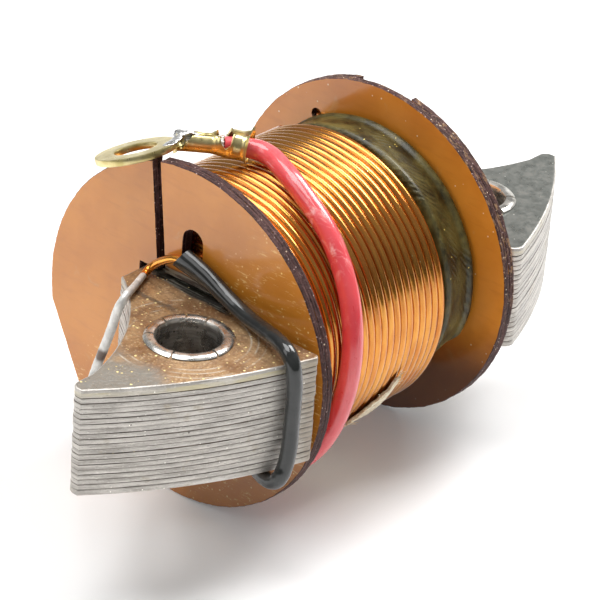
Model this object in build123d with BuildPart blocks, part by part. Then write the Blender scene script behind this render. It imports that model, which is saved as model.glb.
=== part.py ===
from build123d import *
import os
from math import cos, pi, radians, sin, sqrt, tan

# Ignition coil for a small flywheel magneto: a wound former on a laminated core.
#
# Frame: X runs along the coil's axis, -Y points at the pole faces, +Z goes up the stack.
# The origin is midway between the two fixing holes, in the plane they seat on.
# "near" is the -X end, where the lead and the earth wire are, and "far" is the +X end.

os.makedirs("parts", exist_ok=True)

# ---- driving dimensions, mm -------------------------------------------------------------

# fixing holes and their tube rivets
HOLE_SPACING = 43.4
BORE_R = 3.2
RIVET_R = 3.78
RIVET_HOLE_R = 3.8
RIVET_LIP_R = 4.4
RIVET_LIP = 0.4
RIVET_CHAMFER = 0.15
PETALS = 7
PETAL_CUT = 0.16
PETAL_ROOT_R = 3.5
PETAL_TURN = 20.0

# laminated core
SHEETS = 18
SHEET_T = 0.545
TOP_PLATE_T = 0.92
BOTTOM_PLATE_T = 0.65
NECK_HALF_Y = 5.4
NECK_END_X = 17.6
POLE_R = 57.0
POLE_CENTRE_Y = 36.95
POLE_INNER_X = 15.0
FAR_POLE_INNER_X = 15.6
TIP_X = 36.1
TIP_BACK_Y = -5.68
TIP_CORNER_R = 1.0
SCOOP_R = 25.3
SCOOP_END_X = 33.3
INNER_CORNER_R = 0.5
FAR_INNER_CORNER_R = 1.2

# where the coil's axis lies
AXIS_Y = 7.28
STACK_T = BOTTOM_PLATE_T + SHEETS * SHEET_T + TOP_PLATE_T
STACK_TOP = RIVET_LIP + STACK_T
AXIS_Z = RIVET_LIP + STACK_T / 2

# flanges
FLANGE_R = 18.0
NEAR_OUT = -14.22
NEAR_DISC_T = 0.72
NEAR_IN = NEAR_OUT + 2 * NEAR_DISC_T
FAR_IN = 13.89
FAR_DISC_T = 0.8
FLANGE_HOLE = (12.1, 11.8)
SLIT_W = 0.92
SLIT_TILT = 7.0
SLIT_Y = 3.1
SLIT_FROM = 5.0
SLOT_W = 2.5
SLOT_L = 4.4
SLOT_Y = -0.6
SLOT_TOP = 11.8
RIM_FLAT = 17.2
RIM_FLAT_TILT = -27.0
NOTCH_W = 6.8
NOTCH_DEPTH = 1.2
WIRE_HOLE_R = 0.6
WIRE_HOLE = (7.95, 12.15)

# windings
INSULATION = (12.0, 11.7)
INNER_WINDING_R = 10.8
PAPER_R = 11.0
WIRE_D = 1.0
LAYERS = 4
SHORT_LAYERS = 2
STEP_X = 9.0

# gap between pieces that touch on the real coil
FIT_GAP = 0.02

# flattened sleeve at the far end of the winding
BAND_R = 14.5
BAND_T = 1.4
BAND_WALL = 0.35
BAND_FROM = -140.0
BAND_TO = 111.0
BAND_EDGE_R = 0.63
BAND_EDGE_GAP = 0.1
TAPPING_R = 0.33
TAPPING_TO = 109.0

# cloth tape on the underside and back of the winding
TAPE_X = (-2.9, 2.4)
TAPE_T = 0.3
TAPE_FROM = 133.0
TAPE_TO = 234.0

# output lead
LEAD_R = 1.05
STRANDS_R = 0.6
JOINT_R = 1.04
JOINT_L = 3.2
LEAD_ROUTE = [
    (-2.4, 23.2, 3.8),
    (-3.4, 22.5, -0.7),
    (-5.6, 17.3, -7.3),
    (-7.6, 9.3, -10.5),
    (-8.6, 0.9, -9.3),
    (-8.8, -6.1, -3.9),
    (-8.5, -9.3, 4.1),
    (-7.2, -8.3, 12.1),
    (-5.9, -4.0, 18.3),
    (-5.2, 1.4, 21.5),
    (-4.1, 4.6, 22.35),
    (-3.1, 6.5, 22.5),
    (-3.3, 8.15, 22.68),
    (-5.42, 10.03, 22.96),
]

# ring terminal on the lead
RING_CENTRE = (-12.8, 15.86, 22.48)
RING_TILT = 21.6
RING_R = 4.1
EYE_R = 2.15
STRIP_T = 0.7
NECK_W = 2.2
NECK_FROM = 3.8
NECK_END = 4.3
NECK_LANDING_OFFSET = 0.56
NECK_LANDING = (0.51, 1.76)
SOLDER_L = 1.9
SOLDER_T = 0.4
SOLDER_TAPER = 20.0
STRANDS_FROM = 0.3
LAP = 0.2
BARREL_START = (-9.1, 13.3, 23.45)
BARREL_AXIS = (4.5, -4.0, -0.6)
BARREL_R = 1.02
BARREL_L = 3.5
TROUGH_R = 1.3
TROUGH_OPEN_FROM = -0.3
CRIMP_R = 1.55
CRIMP_FROM = 4.8
CRIMP_L = 2.6

# earth wire in its sleeve
SLEEVE_R = 0.8
SLEEVE_BORE_R = 0.55
EARTH_R = 0.42
TAIL_R = 0.47
SLEEVE_ROUTE = [
    (-13.2, 6.7, -3.6),
    (-15.2, 6.5, -3.5),
    (-15.9, 3.6, -1.8),
    (-15.9, -0.9, -0.8),
    (-17.3, -4.6, -0.7),
    (-19.5, -8.2, -0.75),
    (-19.9, -10.6, -0.3),
    (-18.9, -10.85, 2.3),
    (-18.6, -10.65, 6.4),
    (-18.7, -10.8, 10.3),
    (-18.8, -10.55, 13.2),
    (-17.8, -7.6, 13.6),
    (-16.9, -5.1, 13.0),
    (-16.0, -2.3, 12.8),
    (-15.35, 1.0, 13.35),
    (-15.15, 4.3, 14.6),
    (-15.15, 7.2, 14.95),
]
EARTH_ROUTE = SLEEVE_ROUTE[:-1] + [
    (-15.15, 7.6, 15.0),
    (-15.15, 9.3, 14.1),
    (-15.15, 10.8, 12.9),
    (-15.8, 11.1, 12.25),
    (-16.6, 10.75, 12.25),
]
TAIL_ROUTE = [
    (-16.6, 10.75, 12.25),
    (-19.3, 9.5, 12.3),
    (-21.0, 8.9, 12.55),
    (-21.6, 9.2, 11.6),
    (-20.9, 10.1, 10.2),
    (-20.2, 11.1, 7.8),
    (-19.95, 12.2, 5.2),
    (-20.1, 13.1, 2.4),
    (-21.4, 12.9, 0.2),
    (-24.2, 10.3, -0.6),
    (-27.2, 6.9, -0.7),
    (-29.6, 3.6, -0.5),
    (-30.6, 0.3, -0.15),
]
EARTH_JOINT = (-30.7, -0.9)
EARTH_JOINT_R = 1.2
EARTH_JOINT_T = 0.9
EARTH_JOINT_TAPER = 25.0


# ---- helpers ----------------------------------------------------------------------------

def finish(part, name):
    """Labels a finished piece and writes it as its own STEP file."""
    part.label = name
    export_step(part, f"parts/{name}.step")


def across(x):
    """The plane across the coil's axis at x, with its own x along Y and its own y along Z."""
    return Plane(origin=(x, AXIS_Y, AXIS_Z), x_dir=(0, 1, 0), z_dir=(1, 0, 0))


def bend_radii(route, printed_as):
    """Arc radii for a route: 0.45 of the shorter run, over the tangent of half the turn."""
    points = [Vector(*p) for p in route]
    runs = [b - a for a, b in zip(points, points[1:])]
    radii = []
    for before, after in zip(runs, runs[1:]):
        half_turn = radians(before.get_angle(after)) / 2
        radii.append(0.45 * min(before.length, after.length) / tan(half_turn))
    print(printed_as, "bend radii:", [round(r, 1) for r in radii])
    return radii


def tube(name, route, radius, bore_radius=0):
    """A round wire or tube along a route, closed at its ends, with its volume checked."""
    with BuildPart() as piece:
        with BuildLine() as path:
            FilletPolyline(*route, radius=bend_radii(route, name))
        wire = path.wire()
        with BuildSketch(Plane(origin=wire @ 0, z_dir=wire % 0)):
            Circle(radius)
            if bore_radius:
                Circle(bore_radius, mode=Mode.SUBTRACT)
        sweep(path=wire)
    section = pi * (radius ** 2 - bore_radius ** 2)
    print(name, "length", round(wire.length, 2), "mm, volume", round(piece.part.volume, 2),
          "against", round(section * wire.length, 2))
    finish(piece.part, name)


# ---- laminated core ---------------------------------------------------------------------

neck_front = AXIS_Y - NECK_HALF_Y
neck_back = AXIS_Y + NECK_HALF_Y
pole_centre = AXIS_Y + POLE_CENTRE_Y
tip_back = AXIS_Y + TIP_BACK_Y
hole_x = HOLE_SPACING / 2


def pole_y(x):
    """Y of the pole face, which is concentric with the flywheel, at x."""
    return pole_centre - sqrt(POLE_R ** 2 - x ** 2)


with BuildSketch() as core_outline:
    with BuildLine():
        Polyline((0, neck_front), (POLE_INNER_X, neck_front), (POLE_INNER_X, pole_y(POLE_INNER_X)))
        ThreePointArc(
            (POLE_INNER_X, pole_y(POLE_INNER_X)),
            (hole_x, pole_y(hole_x)),
            (TIP_X, pole_y(TIP_X)),
        )
        Polyline((TIP_X, pole_y(TIP_X)), (TIP_X, tip_back), (SCOOP_END_X, tip_back))
        RadiusArc((SCOOP_END_X, tip_back), (NECK_END_X, neck_back), SCOOP_R)
        Polyline((NECK_END_X, neck_back), (0, neck_back), (0, neck_front))
    make_face()
    mirror(about=Plane.YZ)
    # the far pole shoe starts further out, to clear the flange there
    with Locations((POLE_INNER_X, neck_front)):
        Rectangle(FAR_POLE_INNER_X - POLE_INNER_X, POLE_R, align=(Align.MIN, Align.MAX), mode=Mode.SUBTRACT)
    for side, inner_corner_r in ((-1, INNER_CORNER_R), (1, FAR_INNER_CORNER_R)):
        shoe = core_outline.vertices().filter_by(lambda v: side * v.X > POLE_INNER_X - FIT_GAP)
        fillet(shoe.sort_by(Axis.Y)[0], inner_corner_r)
        tip = core_outline.vertices().filter_by(lambda v: side * v.X > TIP_X - FIT_GAP)
        fillet(tip.sort_by(Axis.Y)[-1], TIP_CORNER_R)
    with Locations((-hole_x, 0), (hole_x, 0)):
        Circle(RIVET_HOLE_R, mode=Mode.SUBTRACT)


def core_sheet(name, z, thickness):
    with BuildPart() as sheet:
        with BuildSketch(Plane.XY.offset(z)):
            add(core_outline.sketch)
        extrude(amount=thickness)
    finish(sheet.part, name)


core_sheet("core_end_plate_bottom", RIVET_LIP, BOTTOM_PLATE_T)
for i in range(SHEETS):
    core_sheet(f"core_lamination_{i + 1:02d}", RIVET_LIP + BOTTOM_PLATE_T + i * SHEET_T, SHEET_T)
core_sheet("core_end_plate_top", STACK_TOP - TOP_PLATE_T, TOP_PLATE_T)


# ---- tube rivets, whose bores are the fixing holes --------------------------------------

rivet_top = STACK_TOP + RIVET_LIP
for side, x in (("near", -hole_x), ("far", hole_x)):
    with BuildPart() as rivet:
        with BuildSketch(Plane(origin=(x, 0, 0), x_dir=(1, 0, 0), z_dir=(0, -1, 0))):
            with BuildLine():
                Polyline(
                    (BORE_R, RIVET_CHAMFER),
                    (BORE_R + RIVET_CHAMFER, 0),
                    (RIVET_LIP_R - RIVET_CHAMFER, 0),
                    (RIVET_LIP_R, RIVET_LIP / 2),
                    (RIVET_LIP_R, RIVET_LIP),
                    (RIVET_R, RIVET_LIP),
                    (RIVET_R, STACK_TOP),
                    (RIVET_LIP_R, STACK_TOP),
                    (RIVET_LIP_R, STACK_TOP + RIVET_LIP / 2),
                    (RIVET_LIP_R - RIVET_CHAMFER, rivet_top),
                    (BORE_R + RIVET_CHAMFER, rivet_top),
                    (BORE_R, rivet_top - RIVET_CHAMFER),
                    (BORE_R, RIVET_CHAMFER),
                )
            make_face()
        revolve(axis=Axis((x, 0, 0), (0, 0, 1)))
        # the rolled lip at the top is split into petals
        with BuildSketch(Plane.XY.offset(STACK_TOP + FIT_GAP)):
            with Locations((x, 0)):
                with PolarLocations(PETAL_ROOT_R, PETALS, start_angle=PETAL_TURN):
                    Rectangle(RIVET_LIP_R, PETAL_CUT, align=(Align.MIN, Align.CENTER))
        extrude(amount=RIVET_LIP, mode=Mode.SUBTRACT)
    finish(rivet.part, f"tube_rivet_{side}")


# ---- former: insulation and flanges -----------------------------------------------------

with BuildPart() as core_insulation:
    with BuildSketch(across(NEAR_IN)):
        Rectangle(*INSULATION)
        Rectangle(2 * NECK_HALF_Y + 2 * FIT_GAP, STACK_T + 2 * FIT_GAP, mode=Mode.SUBTRACT)
    extrude(amount=FAR_IN - NEAR_IN)
finish(core_insulation.part, "core_insulation")

# the near flange is two discs, with the slit, the wire slots and the rim's flat cut through both
with BuildSketch() as near_outline:
    Circle(FLANGE_R)
    Rectangle(*FLANGE_HOLE, mode=Mode.SUBTRACT)
    with Locations(Location((SLIT_Y, SLIT_FROM), -SLIT_TILT)):
        Rectangle(SLIT_W, FLANGE_R, align=(Align.CENTER, Align.MIN), mode=Mode.SUBTRACT)
    for slot_centre in (SLOT_TOP - SLOT_L / 2, SLOT_L / 2 - SLOT_TOP):
        with Locations((SLOT_Y, slot_centre)):
            SlotOverall(SLOT_L, SLOT_W, rotation=90, mode=Mode.SUBTRACT)
    with Locations(Location((0, 0), RIM_FLAT_TILT)):
        with Locations((RIM_FLAT, 0)):
            Rectangle(FLANGE_R, FLANGE_R, align=(Align.MIN, Align.CENTER), mode=Mode.SUBTRACT)

for i, name in enumerate(("flange_near_outer", "flange_near_inner")):
    with BuildPart() as near_disc:
        with BuildSketch(across(NEAR_OUT + i * NEAR_DISC_T)):
            add(near_outline.sketch)
        extrude(amount=NEAR_DISC_T)
    finish(near_disc.part, name)

with BuildPart() as far_flange_inner:
    with BuildSketch(across(FAR_IN)):
        Circle(FLANGE_R)
        Rectangle(*FLANGE_HOLE, mode=Mode.SUBTRACT)
        with Locations(WIRE_HOLE):
            Circle(WIRE_HOLE_R, mode=Mode.SUBTRACT)
    extrude(amount=FAR_DISC_T)
finish(far_flange_inner.part, "flange_far_inner")

with BuildPart() as far_flange_outer:
    with BuildSketch(across(FAR_IN + FAR_DISC_T)):
        Circle(FLANGE_R)
        Rectangle(*FLANGE_HOLE, mode=Mode.SUBTRACT)
        with Locations((0, FLANGE_R)):
            Rectangle(NOTCH_W, 2 * NOTCH_DEPTH, mode=Mode.SUBTRACT)
    extrude(amount=FAR_DISC_T)
finish(far_flange_outer.part, "flange_far_outer")


# ---- windings ---------------------------------------------------------------------------

wound_from = NEAR_IN + 2 * FIT_GAP
wound_to = FAR_IN - 2 * FIT_GAP

with BuildPart() as inner_winding:
    with BuildSketch(across(wound_from)):
        Circle(INNER_WINDING_R)
        Rectangle(*INSULATION, mode=Mode.SUBTRACT)
    extrude(amount=wound_to - wound_from)
finish(inner_winding.part, "inner_winding")

with BuildPart() as layer_paper:
    with BuildSketch(across(wound_from)):
        Circle(PAPER_R)
        Circle(INNER_WINDING_R, mode=Mode.SUBTRACT)
    extrude(amount=wound_to - wound_from)
finish(layer_paper.part, "layer_paper")

for i in range(LAYERS):
    inside = PAPER_R + i * WIRE_D
    end = wound_to if i < LAYERS - SHORT_LAYERS else STEP_X
    with BuildPart() as layer:
        with BuildSketch(across(wound_from)):
            Circle(inside + WIRE_D)
            Circle(inside, mode=Mode.SUBTRACT)
        extrude(amount=end - wound_from)
    finish(layer.part, f"outer_winding_layer_{i + 1}")

winding_r = PAPER_R + LAYERS * WIRE_D
coil_axis = Axis((0, AXIS_Y, AXIS_Z), (1, 0, 0))


def radial_plane(angle):
    """The half plane from the coil's axis at angle, in degrees from +Z towards -Y.

    Its own x runs along the axis and its own y runs outwards.
    """
    a = radians(angle)
    return Plane(origin=(0, AXIS_Y, AXIS_Z), x_dir=(1, 0, 0), z_dir=(0, -cos(a), -sin(a)))


# flattened sleeve round the winding's far end, with the tapping wire in it
band_from = STEP_X + BAND_EDGE_GAP
band_to = wound_to - BAND_EDGE_GAP
band_middle = ((band_from + band_to) / 2, BAND_R - BAND_T / 2)

with BuildPart() as end_sleeve:
    with BuildSketch(radial_plane(BAND_FROM)):
        with Locations(band_middle):
            RectangleRounded(band_to - band_from, BAND_T, BAND_EDGE_R)
            SlotOverall(band_to - band_from - 2 * BAND_WALL, BAND_T - 2 * BAND_WALL, mode=Mode.SUBTRACT)
    revolve(axis=coil_axis, revolution_arc=BAND_TO - BAND_FROM)
finish(end_sleeve.part, "end_sleeve")

with BuildPart() as tapping_wire:
    with BuildSketch(radial_plane(BAND_FROM)):
        with Locations(band_middle):
            Circle(TAPPING_R)
    revolve(axis=coil_axis, revolution_arc=TAPPING_TO - BAND_FROM)
finish(tapping_wire.part, "tapping_wire")

with BuildPart() as cloth_tape:
    with BuildSketch(radial_plane(TAPE_FROM)):
        with Locations((TAPE_X[0], winding_r + FIT_GAP)):
            Rectangle(TAPE_X[1] - TAPE_X[0], TAPE_T, align=Align.MIN)
    revolve(axis=coil_axis, revolution_arc=TAPE_TO - TAPE_FROM)
finish(cloth_tape.part, "cloth_tape")


# ---- output lead and its ring terminal --------------------------------------------------

tube("output_lead", LEAD_ROUTE, LEAD_R)

# the taped joint between the winding's end and the lead
joint_axis = Vector(*LEAD_ROUTE[0]) - Vector(*LEAD_ROUTE[1])
with BuildPart() as lead_joint:
    with BuildSketch(Plane(origin=LEAD_ROUTE[0], z_dir=joint_axis)):
        Circle(JOINT_R)
    extrude(amount=JOINT_L)
    fillet(lead_joint.edges().sort_by(Axis.Z)[-1], JOINT_R / 2)
finish(lead_joint.part, "lead_joint")

barrel_plane = Plane(origin=BARREL_START, x_dir=(0, 0, 1), z_dir=BARREL_AXIS)
ring_normal = (0, sin(radians(RING_TILT)), cos(radians(RING_TILT)))
ring_to_barrel = Vector(*BARREL_START) - Vector(*RING_CENTRE)
ring_plane = Plane(origin=RING_CENTRE, x_dir=ring_to_barrel, z_dir=ring_normal)
neck_start = ring_plane.from_local_coords((NECK_FROM, 0, 0))

with BuildPart() as ring_terminal:
    with BuildSketch(ring_plane):
        Circle(RING_R)
        with Locations((NECK_END / 2, 0)):
            Rectangle(NECK_END, NECK_W)
        Circle(EYE_R, mode=Mode.SUBTRACT)
    extrude(amount=STRIP_T / 2, both=True)
    # neck, from the ring's edge down to the barrel's floor
    with BuildSketch(Plane(origin=neck_start, x_dir=ring_plane.y_dir, z_dir=ring_plane.x_dir)):
        Rectangle(NECK_W, STRIP_T)
    with BuildSketch(barrel_plane.offset(LAP)):
        with Locations((-NECK_LANDING_OFFSET, 0)):
            Rectangle(*NECK_LANDING)
    loft()
    with BuildSketch(barrel_plane):
        Circle(BARREL_R)
        Circle(STRANDS_R + FIT_GAP, mode=Mode.SUBTRACT)
    extrude(amount=BARREL_L)
    # open trough between the barrel and the insulation crimp
    with BuildSketch(barrel_plane.offset(BARREL_L - LAP)):
        Circle(TROUGH_R)
        Circle(STRANDS_R + FIT_GAP, mode=Mode.SUBTRACT)
        with Locations((TROUGH_OPEN_FROM, 0)):
            Rectangle(TROUGH_R, 2 * TROUGH_R, align=(Align.MIN, Align.CENTER), mode=Mode.SUBTRACT)
    extrude(amount=CRIMP_FROM - BARREL_L + LAP)
    with BuildSketch(barrel_plane.offset(CRIMP_FROM)):
        Circle(CRIMP_R)
        Circle(LEAD_R + 2 * FIT_GAP, mode=Mode.SUBTRACT)
    extrude(amount=CRIMP_L)
finish(ring_terminal.part, "ring_terminal")

with BuildPart() as terminal_solder:
    with BuildSketch(ring_plane.offset(STRIP_T / 2)):
        with Locations(((EYE_R + NECK_END) / 2, 0)):
            Ellipse(SOLDER_L / 2, NECK_W / 2)
    extrude(amount=SOLDER_T, taper=SOLDER_TAPER)
finish(terminal_solder.part, "terminal_solder")

lead_end = Vector(*LEAD_ROUTE[-1])
with BuildPart() as lead_strands:
    with BuildSketch(barrel_plane.offset(STRANDS_FROM)):
        Circle(STRANDS_R)
    extrude(amount=(lead_end - Vector(*BARREL_START)).length - STRANDS_FROM - FIT_GAP)
finish(lead_strands.part, "lead_strands")


# ---- earth wire in its insulating sleeve ------------------------------------------------

tube("earth_sleeve", SLEEVE_ROUTE, SLEEVE_R, SLEEVE_BORE_R)
tube("earth_wire", EARTH_ROUTE, EARTH_R)
tube("earth_wire_tail", TAIL_ROUTE, TAIL_R)

# solder that earths the wire to the underside of the core, round the wire's end
with BuildPart() as earth_solder:
    with BuildSketch(Plane(origin=(EARTH_JOINT[0], EARTH_JOINT[1], RIVET_LIP), z_dir=(0, 0, -1))):
        Circle(EARTH_JOINT_R)
    extrude(amount=EARTH_JOINT_T, taper=EARTH_JOINT_TAPER)
finish(earth_solder.part, "earth_solder")
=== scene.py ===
"""The ignition coil's looks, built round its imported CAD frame. Lengths are in metres.

X runs along the coil's axis, -Y points at the pole faces and +Z goes up the core's stack.
"""
import math
import random

import bmesh
import bpy
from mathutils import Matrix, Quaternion, Vector, noise
from mathutils.geometry import tessellate_polygon


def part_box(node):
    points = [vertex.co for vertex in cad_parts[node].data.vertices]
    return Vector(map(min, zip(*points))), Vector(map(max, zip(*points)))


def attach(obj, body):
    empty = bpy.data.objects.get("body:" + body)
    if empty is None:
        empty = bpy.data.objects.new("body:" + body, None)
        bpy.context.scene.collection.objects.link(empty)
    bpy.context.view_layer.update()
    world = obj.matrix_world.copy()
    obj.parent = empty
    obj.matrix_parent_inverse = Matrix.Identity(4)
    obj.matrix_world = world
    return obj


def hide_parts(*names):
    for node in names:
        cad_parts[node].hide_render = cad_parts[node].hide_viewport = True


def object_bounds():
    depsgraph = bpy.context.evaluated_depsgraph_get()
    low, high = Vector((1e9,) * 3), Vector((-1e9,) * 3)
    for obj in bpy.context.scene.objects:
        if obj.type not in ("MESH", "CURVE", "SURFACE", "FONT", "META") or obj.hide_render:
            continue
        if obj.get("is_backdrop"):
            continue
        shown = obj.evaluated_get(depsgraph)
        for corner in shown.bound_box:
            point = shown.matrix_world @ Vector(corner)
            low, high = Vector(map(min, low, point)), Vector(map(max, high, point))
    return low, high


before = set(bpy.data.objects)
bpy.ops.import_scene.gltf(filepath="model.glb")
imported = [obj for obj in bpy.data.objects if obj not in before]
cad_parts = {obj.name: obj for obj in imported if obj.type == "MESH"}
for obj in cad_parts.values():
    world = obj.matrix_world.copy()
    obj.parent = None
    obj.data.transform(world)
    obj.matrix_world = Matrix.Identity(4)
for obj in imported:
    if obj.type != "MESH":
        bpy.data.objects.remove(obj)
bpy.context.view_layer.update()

MM = 0.001
X_AXIS = Vector((1, 0, 0))
Y_AXIS = Vector((0, 1, 0))
Z_AXIS = Vector((0, 0, 1))

# ---- where things are, read from the frame ----

near_low, near_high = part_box("flange_near_outer")
far_in_low, far_in_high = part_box("flange_far_inner")
FLANGE_R = (near_high.z - near_low.z) / 2
AXIS_Z = (near_high.z + near_low.z) / 2
AXIS_Y = (far_in_high.y + far_in_low.y) / 2
COIL = Vector((0, AXIS_Y, AXIS_Z))
FLOOR_Z = AXIS_Z - FLANGE_R
STACK_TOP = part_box("core_end_plate_top")[1].z
HOLE_X = 21.7 * MM


def around(radius, angle, x):
    """The point at a radius and an angle in degrees round the coil, from +Z towards -Y."""
    a = math.radians(angle)
    return COIL + Vector((x, -radius * math.sin(a), radius * math.cos(a)))


def show(made):
    """Puts a new object in the scene."""
    bpy.context.scene.collection.objects.link(made)


def drift(x, y=0, z=0):
    """Smooth noise from -1 to 1."""
    return noise.noise(Vector((x, y, z)))


# ---- camera ----

CAMERA_AZIMUTH = math.radians(-51.32)
CAMERA_ELEVATION = math.radians(28.80)
CAMERA_ROLL = math.radians(4.46)
CAMERA_DISTANCE = 332.8 * MM
CAMERA_LENS = 198.5
AIM_RIGHT = 2.18 * MM
AIM_DOWN = 1.13 * MM

back = Vector((
    math.sin(CAMERA_AZIMUTH) * math.cos(CAMERA_ELEVATION),
    -math.cos(CAMERA_AZIMUTH) * math.cos(CAMERA_ELEVATION),
    math.sin(CAMERA_ELEVATION),
))
turn = (-back).to_track_quat("-Z", "Y") @ Quaternion((0, 0, 1), CAMERA_ROLL)
camera_data = bpy.data.cameras.new("camera")
camera_data.sensor_width = 36
camera_data.lens = CAMERA_LENS
camera_data.clip_start = 0.01
camera = bpy.data.objects.new("camera", camera_data)
camera.rotation_mode = "QUATERNION"
camera.rotation_quaternion = turn
camera.location = COIL + turn @ Vector((AIM_RIGHT, -AIM_DOWN, CAMERA_DISTANCE))
show(camera)
bpy.context.scene.camera = camera


# ---- materials ----

class Nodes:
    """A node tree, with short calls for its nodes. Textures use the row frame, in metres."""

    def __init__(self, tree, shader, place):
        self.tree = tree
        self.shader = tree.nodes[shader]
        self.place = self.node("ShaderNodeTexCoord").outputs[place]

    def node(self, kind, inputs=(), **settings):
        """A new node with its settings, and with values or links for its inputs."""
        made = self.tree.nodes.new(kind)
        for key, value in settings.items():
            setattr(made, key, value)
        for key, value in dict(inputs).items():
            self.join(value, made.inputs[key])
        return made

    def join(self, value, socket):
        """Links a socket, or sets a number or colour."""
        if isinstance(value, bpy.types.NodeSocket):
            self.tree.links.new(value, socket)
        elif isinstance(value, (tuple, list)) and len(value) == 3 and socket.type == "RGBA":
            socket.default_value = (*value, 1)
        else:
            socket.default_value = value

    def set(self, name, value):
        self.join(value, self.shader.inputs[name])

    def vector(self, operation, a, b=(0, 0, 0)):
        return self.node("ShaderNodeVectorMath", {0: a, 1: b}, operation=operation).outputs

    def stretched(self, scale):
        """The place in repeats of a texture, given as repeats per metre, one for all axes or one for each."""
        return self.vector("MULTIPLY", self.place, scale if isinstance(scale, tuple) else (scale,) * 3)[0]

    def noise(self, scale, detail=4.0, roughness=0.55, distortion=0.0):
        inputs = {"Vector": self.stretched(scale), "Scale": 1, "Detail": detail, "Roughness": roughness,
                  "Distortion": distortion}
        return self.node("ShaderNodeTexNoise", inputs).outputs["Fac"]

    def cells(self, scale, feature="F1", output="Distance"):
        inputs = {"Vector": self.stretched(scale), "Scale": 1}
        return self.node("ShaderNodeTexVoronoi", inputs, feature=feature).outputs[output]

    def step(self, value, start, end, low=0.0, high=1.0, kind="SMOOTHSTEP"):
        """A change from low to high as value goes from start to end."""
        inputs = {"Value": value, "From Min": start, "From Max": end, "To Min": low, "To Max": high}
        return self.node("ShaderNodeMapRange", inputs, interpolation_type=kind).outputs["Result"]

    def span(self, value, start, end, low=0.0, high=1.0):
        """A step from start to end millimetres."""
        return self.step(value, start * MM, end * MM, low, high)

    def math(self, operation, a, b=0.0):
        return self.node("ShaderNodeMath", {0: a, 1: b}, operation=operation).outputs[0]

    def times(self, a, b):
        return self.math("MULTIPLY", a, b)

    def plus(self, a, b):
        return self.math("ADD", a, b)

    def minus(self, a, b):
        return self.math("SUBTRACT", a, b)

    def most(self, a, b):
        return self.math("MAXIMUM", a, b)

    def size_of(self, a):
        return self.math("ABSOLUTE", a)

    def mix(self, share, a, b):
        return self.node("ShaderNodeMix", {"Factor": share, 6: a, 7: b}, data_type="RGBA").outputs[2]

    def axis(self, name):
        return self.node("ShaderNodeSeparateXYZ", {0: self.place}).outputs[name]

    def along(self, direction):
        """The place's distance along a direction."""
        return self.vector("DOT_PRODUCT", self.place, direction)["Value"]

    def distance_to(self, point, flatten=(1, 1, 1)):
        """The distance from a point, in metres, with the axes given 0 left out."""
        moved = self.vector("SUBTRACT", self.place, point)[0]
        return self.vector("LENGTH", self.vector("MULTIPLY", moved, flatten)[0])["Value"]

    def specks(self, spacing, size, share):
        """Small round specks in a share of the cells, which are spacing millimetres apart."""
        per_metre = 1 / (spacing * MM)
        near = self.step(self.cells(per_metre), size, size * 0.6)
        chosen = self.node("ShaderNodeSeparateColor", {0: self.cells(per_metre, output="Color")})
        return self.times(near, self.math("LESS_THAN", chosen.outputs[0], share))


class Look(Nodes):
    """A material. Its colour is built up in layers, each laid over the last."""

    def __init__(self, name, **sockets):
        self.material = bpy.data.materials.new(name)
        self.material.use_nodes = True
        super().__init__(self.material.node_tree, "Principled BSDF", "Object")
        for key, value in sockets.items():
            self.set(key.replace("_", " "), value)

    def base(self, share, a, b):
        self.colour = self.mix(share, a, b)

    def over(self, share, colour):
        self.colour = self.mix(share, self.colour, colour)

    def finished(self, roughness=None, height=None, distance=0.0, strength=1.0):
        """The material, with its colour, and with its roughness and bump if they are given."""
        self.set("Base Color", self.colour)
        if roughness is not None:
            self.set("Roughness", roughness)
        if height is not None:
            bump = self.node("ShaderNodeBump", {"Distance": distance, "Strength": strength, "Height": height})
            self.set("Normal", bump.outputs["Normal"])
        return self.material


def cut_steel_look():
    """The sheared edges of the laminations: warm grey, streaked along each sheet, worn bright in dots."""
    look = Look("cut_steel", Metallic=0.6)
    along = look.noise((260, 260, 2600), detail=5)
    fine = look.noise((2300, 2300, 7000), detail=4, roughness=0.7)
    look.base(look.step(along, 0.32, 0.68), (0.36, 0.335, 0.305), (0.62, 0.585, 0.54))
    look.over(look.step(fine, 0.55, 0.72, 0, 0.6), (0.84, 0.80, 0.75))
    look.over(look.step(fine, 0.44, 0.30, 0, 0.6), (0.20, 0.175, 0.15))
    stain_and_shade = look.noise(420, detail=6)
    look.over(look.step(stain_and_shade, 0.60, 0.74, 0, 0.55), (0.32, 0.25, 0.14))
    dirt = look.noise(1500, detail=4)
    look.over(look.step(dirt, 0.69, 0.77, 0, 0.8), (0.06, 0.045, 0.03))
    # the top plate's edge has a yellowish band of varnish
    band = look.step(look.size_of(look.minus(look.axis("Z"), STACK_TOP - 0.62 * MM)), 0.34 * MM, 0.22 * MM)
    patchy = look.times(band, look.step(look.noise((160, 160, 600), detail=4), 0.42, 0.58, 0.15, 0.75))
    look.over(patchy, (0.52, 0.46, 0.28))
    # partly brown stain and partly painted shade: the sheets' edges darken towards the near flange
    beside = look.plus(look.axis("X"), look.times(stain_and_shade, 3 * MM))
    flange_stain_and_shade = look.times(look.span(beside, -16.6, -14.4), look.step(beside, 0, -1 * MM, 0, 0.6))
    look.over(flange_stain_and_shade, (0.22, 0.17, 0.115))
    look.over(look.specks(0.6, 0.14, 0.2), (0.96, 0.94, 0.86))
    return look.finished(look.step(along, 0.3, 0.7, 0.34, 0.52), fine, 0.00006, 0.8)


def sheet_gap_look():
    """The line between two laminations, where varnish and dust have run in."""
    look = Look("sheet_gap", Metallic=0.2)
    patch = look.noise((300, 300, 1500), detail=5)
    look.base(look.step(patch, 0.36, 0.66), (0.13, 0.112, 0.095), (0.38, 0.35, 0.315))
    return look.finished(look.step(patch, 0.4, 0.6, 0.45, 0.7))


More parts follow.
